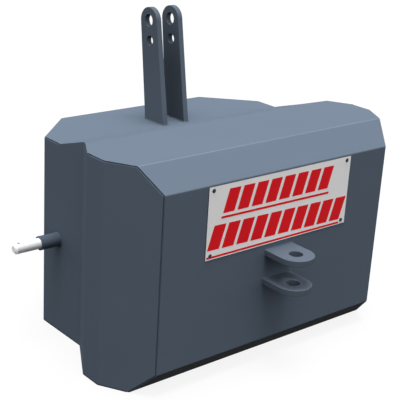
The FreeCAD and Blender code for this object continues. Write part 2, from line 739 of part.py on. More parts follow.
# Checks, then one file for each piece
for item in doc.Objects:
    if "Invalid" in item.State or "Error" in item.State:
        raise RuntimeError(f"{item.Label} failed: {item.State}")
for piece in pieces:
    if piece.Shape.isNull() or not piece.Shape.isValid():
        raise RuntimeError(f"{piece.Label} has no valid shape")

os.makedirs("parts", exist_ok=True)
for piece in pieces:
    piece.Shape.exportStep(f"parts/{piece.Label}.step")
    spans = [f"{low:7.1f} {high:7.1f}" for low, high in (reach(piece.Shape, axis) for axis in "XYZ")]
    print(f"{piece.Label:18s} solids {len(piece.Shape.Solids)}  volume {piece.Shape.Volume:12.0f} mm3"
          f"  x y z {'  '.join(spans)}")
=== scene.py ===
import math
import bpy
from mathutils import Euler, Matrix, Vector


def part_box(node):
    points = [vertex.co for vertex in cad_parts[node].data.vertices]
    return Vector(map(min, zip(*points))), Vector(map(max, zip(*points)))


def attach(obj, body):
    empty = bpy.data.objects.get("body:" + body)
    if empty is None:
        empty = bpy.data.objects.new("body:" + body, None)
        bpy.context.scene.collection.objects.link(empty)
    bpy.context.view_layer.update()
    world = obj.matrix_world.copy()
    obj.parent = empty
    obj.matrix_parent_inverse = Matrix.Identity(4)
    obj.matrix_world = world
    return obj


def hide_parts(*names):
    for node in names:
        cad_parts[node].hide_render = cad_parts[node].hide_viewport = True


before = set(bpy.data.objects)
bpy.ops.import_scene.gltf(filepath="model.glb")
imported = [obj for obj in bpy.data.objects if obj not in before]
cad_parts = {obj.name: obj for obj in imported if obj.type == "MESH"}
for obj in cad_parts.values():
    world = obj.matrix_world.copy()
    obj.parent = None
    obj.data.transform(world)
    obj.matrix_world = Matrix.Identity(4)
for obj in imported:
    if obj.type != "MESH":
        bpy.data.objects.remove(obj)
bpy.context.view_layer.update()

MM = 0.001


# Base plate
# A flat steel plate flush with the lower edges of the box, welded between the side shells. It gets the
# same slate-blue sprayed coat as all the steel that shows, with painted shade darkening the open joints at
# the sides.

PAINT_COLOUR = (0.0860, 0.1100, 0.1440, 1.0)
PAINT_SHADE = (0.0800, 0.1030, 0.1355, 1.0)
PAINT_ROUGHNESS_LOW = 0.70
PAINT_ROUGHNESS_HIGH = 0.78
PAINT_GLOSS = 0.008
PEEL_SCALE = 420.0
PEEL_DETAIL = 1.0
PEEL_DEPTH = 0.05 * MM
CLOUD_SCALE = 5.0
CLOUD_DETAIL = 4.0
# These values set the shade painted into the open joints at the sides.
JOINT_SHADE_REACH = 7.0 * MM
JOINT_SHADE_BEYOND = 465.0 * MM
JOINT_SHADE_DARKEST = 0.06
JOINT_SHADE_OPEN = 0.97
JOINT_SHADE_CLOSED = 0.66
LEDGE_KEPT = 0.90
SURFACE_OUTPUTS = [
    ("Colour", "NodeSocketColor"),
    ("Roughness", "NodeSocketFloat"),
    ("Normal", "NodeSocketVector"),
]


def feed(tree, socket, term):
    """Link a socket to another one, or set it to a constant."""
    if isinstance(term, bpy.types.NodeSocket):
        tree.links.new(term, socket)
    else:
        socket.default_value = term


def add_node(tree, kind, inputs, **settings):
    """A new node: first its settings, which decide what sockets it has, and then what feeds them."""
    node = tree.nodes.new(kind)
    for name, value in settings.items():
        setattr(node, name, value)
    for label, term in inputs.items():
        feed(tree, node.inputs[label], term)
    return node


def maths(tree, operation, *terms):
    """The result of one sum on sockets and constants."""
    return add_node(tree, "ShaderNodeMath", dict(enumerate(terms)), operation=operation).outputs["Value"]


def ranged(tree, value, from_low, from_high, to_low=0.0, to_high=1.0):
    """A value carried over from one range to another, and held at the ends."""
    return add_node(tree, "ShaderNodeMapRange", {
        "Value": value,
        "From Min": from_low,
        "From Max": from_high,
        "To Min": to_low,
        "To Max": to_high,
    }).outputs["Result"]


def object_place(tree):
    """The X, Y and Z of a point on the surface, in the frame of the whole object."""
    place = tree.nodes.new("ShaderNodeTexCoord").outputs["Object"]
    return add_node(tree, "ShaderNodeSeparateXYZ", {"Vector": place}).outputs


def surface_facing(tree):
    """The X, Y and Z of the direction that the surface faces."""
    normal = tree.nodes.new("ShaderNodeNewGeometry").outputs["Normal"]
    return add_node(tree, "ShaderNodeSeparateXYZ", {"Vector": normal}).outputs


def shader_group(name, inputs, outputs):
    """An empty shader group with named sockets, and the sockets that it is given and has to feed."""
    group = bpy.data.node_groups.new(name, "ShaderNodeTree")
    for label, kind, value in inputs:
        socket = group.interface.new_socket(label, in_out="INPUT", socket_type=kind)
        socket.default_value = value
    for label, kind in outputs:
        group.interface.new_socket(label, in_out="OUTPUT", socket_type=kind)
    return group, group.nodes.new("NodeGroupInput").outputs, group.nodes.new("NodeGroupOutput").inputs


def feed_surface(group, given, result, clouds, sheen, relief, depth):
    """Feed a surface group's outputs: clouds mix its two colours, and the relief has a given depth."""
    tint = add_node(group, "ShaderNodeMix", {
        "Factor": clouds,
        "A": given["Shade"],
        "B": given["Colour"],
    }, data_type="RGBA")
    bump = add_node(group, "ShaderNodeBump", {"Strength": 1.0, "Height": relief, "Distance": depth})
    feed(group, result["Colour"], tint.outputs["Result"])
    feed(group, result["Roughness"],
         ranged(group, sheen, 0.0, 1.0, given["Roughness Low"], given["Roughness High"]))
    feed(group, result["Normal"], bump.outputs["Normal"])


def build_sprayed_coat():
    """Group for a sprayed surface: cloudy tint, uneven sheen and the fine orange peel of paint."""
    group, given, result = shader_group("sprayed_coat", [
        ("Colour", "NodeSocketColor", PAINT_COLOUR),
        ("Shade", "NodeSocketColor", PAINT_SHADE),
        ("Cloud Scale", "NodeSocketFloat", CLOUD_SCALE),
        ("Roughness Low", "NodeSocketFloat", PAINT_ROUGHNESS_LOW),
        ("Roughness High", "NodeSocketFloat", PAINT_ROUGHNESS_HIGH),
        ("Peel Scale", "NodeSocketFloat", PEEL_SCALE),
        ("Peel Depth", "NodeSocketFloat", PEEL_DEPTH),
    ], SURFACE_OUTPUTS)
    place = group.nodes.new("ShaderNodeTexCoord").outputs["Object"]
    clouds = add_node(group, "ShaderNodeTexNoise", {
        "Vector": place,
        "Scale": given["Cloud Scale"],
        "Detail": CLOUD_DETAIL,
    }).outputs["Fac"]
    peel = add_node(group, "ShaderNodeTexNoise", {
        "Vector": place,
        "Scale": given["Peel Scale"],
        "Detail": PEEL_DETAIL,
    }).outputs["Fac"]
    feed_surface(group, given, result, clouds, clouds, peel, given["Peel Depth"])
    return group


def build_joint_shade():
    """Group for painted shade in the open corner joints at the sides: the part of a colour kept in them.
    """
    group, given, result = shader_group("joint_shade", [
        ("Reach", "NodeSocketFloat", JOINT_SHADE_REACH),
        ("Beyond", "NodeSocketFloat", JOINT_SHADE_BEYOND),
        ("Darkest", "NodeSocketFloat", JOINT_SHADE_DARKEST),
        ("Ledge Kept", "NodeSocketFloat", LEDGE_KEPT),
    ], [("Kept", "NodeSocketFloat")])
    closeness = add_node(group, "ShaderNodeAmbientOcclusion", {"Distance": given["Reach"]}).outputs["AO"]
    level = ranged(group, closeness, JOINT_SHADE_CLOSED, JOINT_SHADE_OPEN, given["Darkest"])
    ledge = maths(group, "MULTIPLY", surface_facing(group)["Z"], given["Ledge Kept"])
    inward = maths(group, "LESS_THAN", maths(group, "ABSOLUTE", object_place(group)["X"]), given["Beyond"])
    feed(group, result["Kept"], maths(group, "MAXIMUM", inward, maths(group, "MAXIMUM", level, ledge)))
    return group


SPRAYED_COAT = build_sprayed_coat()
JOINT_SHADE = build_joint_shade()


def surface(name, group, values, fixed):
    """A Principled material fed by a surface group, with its constants set on the shader itself."""
    material = bpy.data.materials.new(name)
    material.use_nodes = True
    tree = material.node_tree
    shader = tree.nodes["Principled BSDF"]
    for label, value in fixed.items():
        shader.inputs[label].default_value = value
    pattern = add_node(tree, "ShaderNodeGroup", values, node_tree=group)
    feed(tree, shader.inputs["Base Color"], pattern.outputs["Colour"])
    feed(tree, shader.inputs["Roughness"], pattern.outputs["Roughness"])
    feed(tree, shader.inputs["Normal"], pattern.outputs["Normal"])
    return material


def steel_paint(name, colours):
    """The sprayed coat on steel, with colours of its own where a piece has them."""
    return surface(name, SPRAYED_COAT, colours, {"Specular IOR Level": PAINT_GLOSS})


def scale_colour(material, factor):
    """Multiply a material's colour by a factor that changes over the surface."""
    tree = material.node_tree
    colour = tree.nodes["Principled BSDF"].inputs["Base Color"]
    scaled = add_node(tree, "ShaderNodeVectorMath", {
        0: colour.links[0].from_socket,
        "Scale": factor,
    }, operation="SCALE")
    feed(tree, colour, scaled.outputs["Vector"])


def paint_joint_shade(material):
    """Paint shade into the open corner joints at the sides by dimming the colour, least on the ledges that
    face up.
    """
    joints = add_node(material.node_tree, "ShaderNodeGroup", {}, node_tree=JOINT_SHADE)
    scale_colour(material, joints.outputs["Kept"])


def coat(node, material):
    """Give a carried-over node its finish."""
    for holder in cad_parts[node].material_slots:
        holder.material = material


shell_paint = steel_paint("shell_paint", {})
paint_joint_shade(shell_paint)
coat("base_plate", shell_paint)


# Side shells
# Two steel plates of 10 mm, each folded round one side from the front corner to the middle of the
# back, where one upright weld joins them. The bead is laid from below and painted over. Painted shade
# darkens what faces down.

# Painted shade: the dark colour laid on undersides and in the gaps between parts.
PAINTED_SHADE_COLOUR = (0.0310, 0.0340, 0.0380, 1.0)
UNDERSIDE_SHADE_START = -0.20
UNDERSIDE_SHADE_FULL = -0.65
WELD_PITCH = 2.0 * MM
WELD_UNEVENNESS = 0.12
PUDDLE_LENGTH = 0.6
PUDDLE_SUBDIVISIONS = 2
NARROW_TOP = 672.5 * MM
SHEET_THICKNESS = 4.0 * MM
BACK_SEAM_BALL = 5.0 * MM
BACK_SEAM_DEPTH = 3.4 * MM


def lay_colour(material, over, share):
    """Lay another colour over a material's own, by a share that changes over the surface."""
    tree = material.node_tree
    colour = tree.nodes["Principled BSDF"].inputs["Base Color"]
    laid = add_node(tree, "ShaderNodeMix", {
        "Factor": share,
        "A": colour.links[0].from_socket,
        "B": over,
    }, data_type="RGBA")
    feed(tree, colour, laid.outputs["Result"])


def build_underside_shade():
    """Group for painted shade on what faces down: the share of the dark shade colour that is laid on."""
    group, given, result = shader_group("undersides", [
        ("Start", "NodeSocketFloat", UNDERSIDE_SHADE_START),
        ("Full", "NodeSocketFloat", UNDERSIDE_SHADE_FULL),
    ], [("Share", "NodeSocketFloat")])
    share = ranged(group, surface_facing(group)["Z"], given["Start"], given["Full"])
    feed(group, result["Share"], share)
    return group


DOWNWARD_SHADE = build_underside_shade()


def paint_underside_shade(material):
    """Paint shade where the surface faces down."""
    under = add_node(material.node_tree, "ShaderNodeGroup", {}, node_tree=DOWNWARD_SHADE)
    lay_colour(material, PAINTED_SHADE_COLOUR, under.outputs["Share"])


def geometry_tree(name, inputs):
    """An empty geometry tree with named inputs, and the nodes for what it is given and puts out."""
    tree = bpy.data.node_groups.new(name, "GeometryNodeTree")
    tree.interface.new_socket("Geometry", in_out="INPUT", socket_type="NodeSocketGeometry")
    tree.interface.new_socket("Geometry", in_out="OUTPUT", socket_type="NodeSocketGeometry")
    for label, kind in inputs:
        tree.interface.new_socket(label, in_out="INPUT", socket_type=kind)
    return tree, tree.nodes.new("NodeGroupInput").outputs, tree.nodes.new("NodeGroupOutput").inputs


def finish_tree(tree, given, result, instances):
    """End a tree in real faces that have the finish it is given."""
    realized = add_node(tree, "GeometryNodeRealizeInstances", {"Geometry": instances})
    finished = add_node(tree, "GeometryNodeSetMaterial", {
        "Geometry": realized.outputs["Geometry"],
        "Material": given["Finish"],
    })
    feed(tree, result["Geometry"], finished.outputs["Geometry"])


def build_weld_tree():
    """Overlapping lens-shaped puddles along a curve, as a hand-laid weld bead shows them."""
    tree, given, result = geometry_tree("weld_bead", [
        ("Ball", "NodeSocketFloat"),
        ("Pitch", "NodeSocketFloat"),
        ("Unevenness", "NodeSocketFloat"),
        ("Seed", "NodeSocketInt"),
        ("Finish", "NodeSocketMaterial"),
    ])
    spread = add_node(tree, "GeometryNodeResampleCurve", {
        "Curve": given["Geometry"],
        "Length": given["Pitch"],
    }, mode="LENGTH")
    ball = add_node(tree, "GeometryNodeMeshIcoSphere", {
        "Radius": given["Ball"],
        "Subdivisions": PUDDLE_SUBDIVISIONS,
    })
    puddle = add_node(tree, "GeometryNodeSetShadeSmooth", {"Geometry": ball.outputs["Mesh"]})
    flow = tree.nodes.new("GeometryNodeInputTangent")
    turn = add_node(tree, "FunctionNodeAlignRotationToVector", {
        "Vector": flow.outputs["Tangent"],
    }, axis="X")
    size = add_node(tree, "FunctionNodeRandomValue", {
        "Min": maths(tree, "SUBTRACT", 1.0, given["Unevenness"]),
        "Seed": given["Seed"],
    }, data_type="FLOAT").outputs["Value"]
    lens = add_node(tree, "ShaderNodeCombineXYZ", {"X": PUDDLE_LENGTH, "Y": size, "Z": size})
    laid = add_node(tree, "GeometryNodeInstanceOnPoints", {
        "Points": spread.outputs["Curve"],
        "Instance": puddle.outputs["Geometry"],
        "Rotation": turn.outputs["Rotation"],
        "Scale": lens.outputs["Vector"],
    })
    finish_tree(tree, given, result, laid.outputs["Instances"])
    return tree


def grow(name, base, tree, values):
    """Run a geometry tree on a data block, and keep its result as a plain mesh object."""
    carrier = bpy.data.objects.new(name + "_carrier", base)
    bpy.context.scene.collection.objects.link(carrier)
    modifier = carrier.modifiers.new("grow", "NODES")
    modifier.node_group = tree
    for item in tree.interface.items_tree:
        if item.in_out == "INPUT" and item.name in values:
            modifier[item.identifier] = values[item.name]
    depsgraph = bpy.context.evaluated_depsgraph_get()
    mesh = bpy.data.meshes.new_from_object(carrier.evaluated_get(depsgraph))
    mesh.name = name
    bpy.data.objects.remove(carrier)
    piece = bpy.data.objects.new(name, mesh)
    bpy.context.scene.collection.objects.link(piece)
    return piece


def polyline(name, runs):
    """A curve of straight runs; a run whose last point repeats its first is closed."""
    curve = bpy.data.curves.new(name, "CURVE")
    curve.dimensions = "3D"
    for run in runs:
        closed = run[0] == run[-1]
        points = run[:-1] if closed else run
        spline = curve.splines.new("POLY")
        spline.points.add(len(points) - 1)
        for point, place in zip(spline.points, points):
            point.co = (*place, 1.0)
        spline.use_cyclic_u = closed
    return curve


WELD_TREE = build_weld_tree()
slate_paint = steel_paint("slate_paint", {})
paint_underside_shade(slate_paint)


def weld(name, runs, ball, seed):
    """A painted weld bead along runs of points."""
    bead = grow(name, polyline(name, runs), WELD_TREE, {
        "Ball": ball,
        "Pitch": WELD_PITCH,
        "Unevenness": WELD_UNEVENNESS,
        "Seed": seed,
        "Finish": slate_paint,
    })
    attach(bead, "root")


coat("side_shell_left", shell_paint)
coat("side_shell_right", shell_paint)
seam_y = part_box("side_shell_left")[1].y - BACK_SEAM_DEPTH
seam_top = NARROW_TOP - SHEET_THICKNESS - BACK_SEAM_BALL
seam_run = [(0.0, seam_y, BACK_SEAM_BALL), (0.0, seam_y, seam_top)]
weld("back_seam_weld", [seam_run], BACK_SEAM_BALL, seed=3)


# Folded top and front sheet
# One 4 mm plate bent along five lines: chamfer, front, chamfer, wide top, ramp and narrow top. It rests
# on the shells with an open corner joint, and is painted with them. Painted light lightens the upper
# chamfer, and a painted highlight runs along the bend above it.

# Painted light: a highlight along the bend and a lighter upper chamfer.
RIDGE_FACING = (0.0, -0.37, 0.93)
RIDGE_START = 0.962
RIDGE_FULL = 0.985
RIDGE_PAINTED_HIGHLIGHT = 1.30
CHAMFER_FACING = (0.0, -0.72, 0.69)
CHAMFER_START = 0.93
CHAMFER_FULL = 0.99
CHAMFER_PAINTED_LIGHT = 1.10


def paint_light_facing(material, direction, start, full, lighter):
    """Paint light into the colour where the surface faces a fixed direction of the object."""
    tree = material.node_tree
    towards = add_node(tree, "ShaderNodeVectorMath", {
        0: tree.nodes.new("ShaderNodeNewGeometry").outputs["Normal"],
        1: Vector(direction).normalized(),
    }, operation="DOT_PRODUCT")
    scale_colour(material, ranged(tree, towards.outputs["Value"], start, full, 1.0, lighter))


sheet_paint = steel_paint("sheet_paint", {})
paint_joint_shade(sheet_paint)
paint_light_facing(sheet_paint, RIDGE_FACING, RIDGE_START, RIDGE_FULL, RIDGE_PAINTED_HIGHLIGHT)
paint_light_facing(sheet_paint, CHAMFER_FACING, CHAMFER_START, CHAMFER_FULL, CHAMFER_PAINTED_LIGHT)
paint_underside_shade(sheet_paint)
coat("top_front_sheet", sheet_paint)


# Top-link mast
# Two leaning 20 mm plates, flame-cut with round heads and two link holes. Their tails pass through the
# top sheet, and a fillet weld runs round the foot of each. Their paint is a darker, greyer copy as painted
# shade, and more shade is painted on the faces across the gap between them.

# A darker, greyer copy of the body's paint, as painted shade.
MAST_SHADED_COAT = {"Colour": (0.0828, 0.1035, 0.1320, 1.0), "Shade": (0.0770, 0.0970, 0.1240, 1.0)}
MAST_WELD_BALL = 3.0 * MM
MAST_FOOT_DEPTH = 106.5 * MM
INNER_FACES_WITHIN = 36.8 * MM
# How much shade is painted across the gap between the plates, and over what height.
SHADE_BETWEEN = 0.38
BETWEEN_SHADE_LEAST = 1045.0 * MM
BETWEEN_SHADE_MOST = 860.0 * MM


def paint_shade_between_plates(material):
    """Paint shade on the faces across the gap, least near the heads, where more light gets in."""
    tree = material.node_tree
    place = object_place(tree)
    inner = maths(tree, "LESS_THAN", maths(tree, "ABSOLUTE", place["X"]), INNER_FACES_WITHIN)
    depth = ranged(tree, place["Z"], BETWEEN_SHADE_LEAST, BETWEEN_SHADE_MOST, 0.0, SHADE_BETWEEN)
    lay_colour(material, PAINTED_SHADE_COLOUR, maths(tree, "MULTIPLY", inner, depth))


def rectangle(across, along, level, axes):
    """The closed run round a rectangle; axes names its two directions and then the level's."""
    run = []
    for first, second in ((0, 0), (1, 0), (1, 1), (0, 1), (0, 0)):
        place = {axes[0]: across[first], axes[1]: along[second], axes[2]: level}
        run.append((place["x"], place["y"], place["z"]))
    return run


shaded_mast_paint = steel_paint("shaded_mast_paint", MAST_SHADED_COAT)
paint_underside_shade(shaded_mast_paint)
paint_shade_between_plates(shaded_mast_paint)
foot_runs = []
for plate in ("mast_plate_left", "mast_plate_right"):
    coat(plate, shaded_mast_paint)
    low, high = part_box(plate)
    foot_runs.append(rectangle((low.x, high.x), (low.y, low.y + MAST_FOOT_DEPTH), NARROW_TOP, "xyz"))
weld("mast_foot_welds", foot_runs, MAST_WELD_BALL, seed=11)


# Tow clevis
# Two level 20 mm ears with half-round ends, one above the other. Their tails pass through the front
# sheet, and a fillet weld runs round the root of each. Their paint is darkened a little as painted shade,
# and shade is painted on the sheet in the gap between them.

# A darker copy of the body's paint, as painted shade; the rest sets the shade painted in the gap.
EAR_SHADED_COAT = {"Colour": (0.0765, 0.0970, 0.1255, 1.0), "Shade": (0.0712, 0.0908, 0.1180, 1.0)}
EAR_WELD_BALL = 2.6 * MM
EAR_GAP_SHADE = 0.70
EAR_GAP_EDGE = 66.0 * MM
EAR_GAP_INSIDE = 46.0 * MM
SHADE_BEHIND_EAR = 4.0 * MM


def paint_shade_between_ears(material, low_z, high_z):
    """Paint shade on the sheet in the gap between the ears, most under the upper one."""
    tree = material.node_tree
    place = object_place(tree)
    aside = maths(tree, "ABSOLUTE", place["X"])
    within = ranged(tree, aside, EAR_GAP_EDGE, EAR_GAP_INSIDE, 0.0, EAR_GAP_SHADE)
    rise = ranged(tree, place["Z"], low_z, high_z)
    below = maths(tree, "LESS_THAN", place["Z"], high_z + SHADE_BEHIND_EAR)
    share = maths(tree, "MULTIPLY", within, maths(tree, "MULTIPLY", rise, below))
    lay_colour(material, PAINTED_SHADE_COLOUR, share)


shaded_ear_paint = steel_paint("shaded_ear_paint", EAR_SHADED_COAT)
paint_underside_shade(shaded_ear_paint)
front_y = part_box("top_front_sheet")[0].y
root_runs = []
for ear in ("tow_ear_upper", "tow_ear_lower"):
    coat(ear, shaded_ear_paint)
    low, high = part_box(ear)
    root_runs.append(rectangle((low.x, high.x), (low.z, high.z), front_y, "xzy"))
weld("tow_ear_welds", root_runs, EAR_WELD_BALL, seed=23)
paint_shade_between_ears(sheet_paint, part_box("tow_ear_lower")[1].z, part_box("tow_ear_upper")[0].z)


# Sockets, anchor bars and concrete
# Inside the box, out of sight: bare steel tubes behind the pins, bars through the plates' tails, and
# the rough concrete that was poured round them all.

MILL_SCALE = {
    "Colour": (0.10, 0.09, 0.085, 1.0),
    "Shade": (0.05, 0.047, 0.05, 1.0),
    "Cloud Scale": 22.0,
    "Roughness Low": 0.45,
    "Roughness High": 0.75,
    "Peel Scale": 260.0,
    "Peel Depth": 0.2 * MM,
}
MILL_SCALE_METAL = 0.8
CONCRETE = {
    "Colour": (0.42, 0.41, 0.38, 1.0),
    "Shade": (0.26, 0.255, 0.24, 1.0),
    "Cloud Scale": 35.0,
    "Roughness Low": 0.85,
    "Roughness High": 0.97,
    "Peel Scale": 190.0,
    "Peel Depth": 1.2 * MM,
}
CONCRETE_GLOSS = 0.2

mill_scale = surface("mill_scale", SPRAYED_COAT, MILL_SCALE, {"Metallic": MILL_SCALE_METAL})
concrete = surface("cast_concrete", SPRAYED_COAT, CONCRETE, {"Specular IOR Level": CONCRETE_GLOSS})
for inner in ("pin_socket_left", "pin_socket_right", "mast_anchor_bar", "tow_anchor_bar"):
    coat(inner, mill_scale)
coat("ballast_core", concrete)


# Lower-link pins and collars
# Turned and zinc-plated round pins, seated with a shoulder on collars whose paint is darkened a little as
# painted shade.
# A weld runs round the root of each collar.

# A darker copy of the body's paint, as painted shade.
COLLAR_SHADED_COAT = {"Colour": (0.0640, 0.0815, 0.1050, 1.0), "Shade": (0.0596, 0.0765, 0.0990, 1.0)}
COLLAR_WELD_BALL = 2.4 * MM
COLLAR_POINTS = 48
ZINC_COLOUR = (0.78, 0.78, 0.78, 1.0)
ZINC_SHADE = (0.70, 0.70, 0.705, 1.0)
ZINC_METAL = 0.25
ZINC_GLOSS = 0.1
ZINC_ROUGHNESS_LOW = 0.28
ZINC_ROUGHNESS_HIGH = 0.44
PLATING_SCALE = 60.0
PLATING_DETAIL = 3.0
TURNING_PITCH = 1.1 * MM
TURNING_DEPTH = 0.02 * MM
TURNING_DETAIL = 3.0


def build_turned_metal():
    """Group for lathe work along X: fine rings round the axis and cloudy plating."""
    group, given, result = shader_group("turned_metal", [
        ("Colour", "NodeSocketColor", ZINC_COLOUR),
        ("Shade", "NodeSocketColor", ZINC_SHADE),
        ("Roughness Low", "NodeSocketFloat", ZINC_ROUGHNESS_LOW),
        ("Roughness High", "NodeSocketFloat", ZINC_ROUGHNESS_HIGH),
        ("Ring Pitch", "NodeSocketFloat", TURNING_PITCH),
        ("Ring Depth", "NodeSocketFloat", TURNING_DEPTH),
    ], SURFACE_OUTPUTS)
    rings = add_node(group, "ShaderNodeTexNoise", {
        "W": maths(group, "DIVIDE", object_place(group)["X"], given["Ring Pitch"]),
        "Scale": 1.0,
        "Detail": TURNING_DETAIL,
    }, noise_dimensions="1D").outputs["Fac"]
    clouds = add_node(group, "ShaderNodeTexNoise", {
        "Vector": group.nodes.new("ShaderNodeTexCoord").outputs["Object"],
        "Scale": PLATING_SCALE,
        "Detail": PLATING_DETAIL,
    }).outputs["Fac"]
    feed_surface(group, given, result, clouds, rings, rings, given["Ring Depth"])
    return group


zinc = surface("zinc_plate", build_turned_metal(), {}, {
    "Metallic": ZINC_METAL,
    "Specular IOR Level": ZINC_GLOSS,
})
shaded_collar_paint = steel_paint("shaded_collar_paint", COLLAR_SHADED_COAT)
collar_runs = []
for side in ("left", "right"):
    coat(f"lower_pin_{side}", zinc)
    coat(f"pin_collar_{side}", shaded_collar_paint)
    low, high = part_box(f"pin_collar_{side}")
    middle = (low + high) / 2
    radius = (high.z - low.z) / 2
    root_x = high.x if side == "left" else low.x
    angles = [2 * math.pi * step / COLLAR_POINTS for step in range(COLLAR_POINTS)]
    ring = [(root_x, middle.y + radius * math.cos(angle), middle.z + radius * math.sin(angle))
            for angle in angles]
    collar_runs.append(ring + ring[:1])
weld("collar_welds", collar_runs, COLLAR_WELD_BALL, seed=31)


# Sign
# A pale coated sheet whose cut edges are dark, partly as bare metal and partly as painted shade, held by
# four painted blind rivets, each with the stub of its drawn mandrel. Its print is two rows of slanted red
# bars, each with a red line below it, cut from thin film.

BOARD = {
    "Colour": (0.75, 0.74, 0.74, 1.0),
    "Shade": (0.71, 0.705, 0.705, 1.0),
    "Cloud Scale": 7.0,
    "Roughness Low": 0.32,
    "Roughness High": 0.42,
    "Peel Scale": 700.0,
    "Peel Depth": 0.01 * MM,
}
FILM = {
    "Colour": (0.66, 0.011, 0.017, 1.0),
    "Shade": (0.63, 0.010, 0.015, 1.0),
    "Cloud Scale": 9.0,
    "Roughness Low": 0.30,
    "Roughness High": 0.38,
    "Peel Scale": 500.0,
    "Peel Depth": 0.01 * MM,
}
RIVET_PAINT = {"Colour": (0.036, 0.046, 0.060, 1.0), "Shade": (0.028, 0.036, 0.047, 1.0)}
SIGN_GLOSS = 0.04
RIVET_GLOSS = 0.15
# Cut edges: dark bare metal, darkened further as painted shade.
CUT_EDGE_AND_SHADE = (0.030, 0.034, 0.040, 1.0)
FACING_AHEAD = 0.5
RIVET_HEAD_RADIUS = 7.0 * MM
RIVET_HEAD_HEIGHT = 2.5 * MM
RIVET_HEAD_SEGMENTS = 24
RIVET_HEAD_RINGS = 12
RIVET_SHANK_RADIUS = 2.4 * MM
RIVET_SHANK_LENGTH = 5.5 * MM
RIVET_SHANK_SIDES = 24
MANDREL_RADIUS = 1.7 * MM
MANDREL_LENGTH = 1.0 * MM
MANDREL_SIDES = 16
UPRIGHT = (math.pi / 2, 0.0, 0.0)
FILM_THICKNESS = 0.3 * MM
FILM_WELD = 0.01 * MM
BAR_SLANT = math.tan(math.radians(16.0))
BAR_CORNER = 2.0 * MM
CORNER_POINTS = 3
LINE_CORNER_SHARE = 1 / 3
# Each row's ends, level, height and width are in millimetres, and its tilt in degrees.
BAR_ROWS = [
    {"left": -254.0, "right": 224.0, "level": 606.0, "height": 76.0, "width": 46.0,
     "count": 8, "tilt": -0.4},
    {"left": -309.0, "right": 297.0, "level": 489.0, "height": 80.0, "width": 48.0,
     "count": 10, "tilt": -1.3},
]
ROW_LINES = [
    {"left": -260.0, "right": 210.0, "level_left": 556.5, "level_right": 550.0, "height": 7.5},
    {"left": -311.0, "right": 274.0, "level_left": 432.0, "level_right": 431.0, "height": 7.0},
]


def build_rivet_tree():
    """Blind rivets on points, with a domed head along -Y, a stub of mandrel in it and a shank."""
    tree, given, result = geometry_tree("blind_rivets", [("Finish", "NodeSocketMaterial")])
    ball = add_node(tree, "GeometryNodeMeshUVSphere", {
        "Segments": RIVET_HEAD_SEGMENTS,
        "Rings": RIVET_HEAD_RINGS,
        "Radius": 1.0,
    })
    dome = add_node(tree, "GeometryNodeTransform", {
        "Geometry": ball.outputs["Mesh"],
        "Scale": (RIVET_HEAD_RADIUS, RIVET_HEAD_RADIUS, RIVET_HEAD_HEIGHT),
    })
    place = tree.nodes.new("GeometryNodeInputPosition").outputs["Position"]
    split = add_node(tree, "ShaderNodeSeparateXYZ", {"Vector": place}).outputs
    raised = add_node(tree, "ShaderNodeCombineXYZ", {
        "X": split["X"],
        "Y": split["Y"],
        "Z": maths(tree, "MAXIMUM", split["Z"], 0.0),
    })
    head = add_node(tree, "GeometryNodeSetPosition", {
        "Geometry": dome.outputs["Geometry"],
        "Position": raised.outputs["Vector"],
    })
    smooth = add_node(tree, "GeometryNodeSetShadeSmooth", {"Geometry": head.outputs["Geometry"]})
    stub = add_node(tree, "GeometryNodeMeshCylinder", {
        "Vertices": MANDREL_SIDES,
        "Radius": MANDREL_RADIUS,
        "Depth": MANDREL_LENGTH,
    })
    drawn = add_node(tree, "GeometryNodeTransform", {
        "Geometry": stub.outputs["Mesh"],
        "Translation": (0.0, 0.0, RIVET_HEAD_HEIGHT),
    })
    shank = add_node(tree, "GeometryNodeMeshCylinder", {
        "Vertices": RIVET_SHANK_SIDES,
        "Radius": RIVET_SHANK_RADIUS,
        "Depth": RIVET_SHANK_LENGTH,
    })
    behind = add_node(tree, "GeometryNodeTransform", {
        "Geometry": shank.outputs["Mesh"],
        "Translation": (0.0, 0.0, -RIVET_SHANK_LENGTH / 2),
    })
    whole = tree.nodes.new("GeometryNodeJoinGeometry")
    for form in (smooth, drawn, behind):
        feed(tree, whole.inputs["Geometry"], form.outputs["Geometry"])
    rivet = add_node(tree, "GeometryNodeTransform", {
        "Geometry": whole.outputs["Geometry"],
        "Rotation": UPRIGHT,
    })
    laid = add_node(tree, "GeometryNodeInstanceOnPoints", {
        "Points": given["Geometry"],
        "Instance": rivet.outputs["Geometry"],
    })
    finish_tree(tree, given, result, laid.outputs["Instances"])
    return tree


